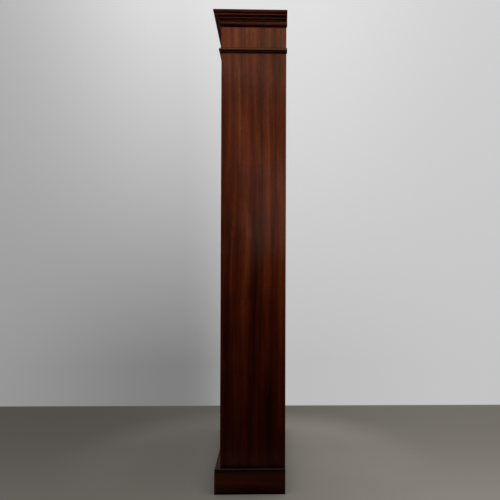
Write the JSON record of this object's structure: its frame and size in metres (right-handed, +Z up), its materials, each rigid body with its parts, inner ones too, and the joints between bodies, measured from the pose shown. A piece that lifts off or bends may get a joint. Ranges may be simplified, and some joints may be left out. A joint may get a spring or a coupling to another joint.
{
  "type": "open-front bookcase",
  "caption": "Tall open-fronted mahogany bookcase with a moulded cornice, an astragal under the frieze, a planted plinth and loose shelves on pegs.",
  "frame": {"origin": "centre of the bounding box, on the floor", "axes": "+Z up, front towards -Y, +X towards the side panel that the picture shows"},
  "size_m": [1.024, 0.303, 1.98],
  "materials": {
    "polished_mahogany": "dark red-brown mahogany, French-polished to a satin gloss",
    "inside_mahogany": "red-brown mahogany, thinly polished",
    "plain_wood": "plain sawn and planed wood, unpolished",
    "peg_brass": "turned brass",
    "screw_steel": "slotted steel screws"
  },
  "bodies": {
    "carcass": {"side_left": "polished_mahogany", "side_right": "polished_mahogany", "carcass_bottom": "inside_mahogany", "carcass_top": "plain_wood", "frieze_board": "polished_mahogany", "cap_front": "polished_mahogany", "cap_left": "polished_mahogany", "cap_right": "polished_mahogany", "cap_back": "polished_mahogany", "bed_mould_front": "polished_mahogany", "bed_mould_left": "polished_mahogany", "bed_mould_right": "polished_mahogany", "astragal_front": "polished_mahogany", "astragal_left": "polished_mahogany", "astragal_right": "polished_mahogany", "plinth_front": "polished_mahogany", "plinth_left": "polished_mahogany", "plinth_right": "polished_mahogany", "toe_rail": "plain_wood", "back_rail": "plain_wood", "plinth_bearer": "plain_wood", "plinth_glue_blocks": "plain_wood", "frieze_glue_blocks": "plain_wood", "cap_screws": "screw_steel", "back_screws": "screw_steel", "back_board_1": "inside_mahogany", "back_board_2": "inside_mahogany", "back_board_3": "inside_mahogany", "back_board_4": "inside_mahogany", "back_board_5": "inside_mahogany", "back_board_6": "inside_mahogany", "back_board_7": "inside_mahogany", "shelf_pegs_1": "peg_brass", "shelf_pegs_2": "peg_brass", "shelf_pegs_3": "peg_brass", "shelf_pegs_4": "peg_brass", "shelf_pegs_5": "peg_brass"},
    "shelf_body_1": {"shelf_1": "inside_mahogany", "shelf_lipping_1": "polished_mahogany"},
    "shelf_body_2": {"shelf_2": "inside_mahogany", "shelf_lipping_2": "polished_mahogany"},
    "shelf_body_3": {"shelf_3": "inside_mahogany", "shelf_lipping_3": "polished_mahogany"},
    "shelf_body_4": {"shelf_4": "inside_mahogany", "shelf_lipping_4": "polished_mahogany"},
    "shelf_body_5": {"shelf_5": "inside_mahogany", "shelf_lipping_5": "polished_mahogany"}
  },
  "joints": [
    {"name": "shelf_1_slide", "type": "slide", "parent": "carcass", "child": "shelf_body_1", "axis": [0, -1, 0], "range_m": [0, 0.3]},
    {"name": "shelf_2_slide", "type": "slide", "parent": "carcass", "child": "shelf_body_2", "axis": [0, -1, 0], "range_m": [0, 0.3]},
    {"name": "shelf_3_slide", "type": "slide", "parent": "carcass", "child": "shelf_body_3", "axis": [0, -1, 0], "range_m": [0, 0.3]},
    {"name": "shelf_4_slide", "type": "slide", "parent": "carcass", "child": "shelf_body_4", "axis": [0, -1, 0], "range_m": [0, 0.3]},
    {"name": "shelf_5_slide", "type": "slide", "parent": "carcass", "child": "shelf_body_5", "axis": [0, -1, 0], "range_m": [0, 0.3]}
  ]
}
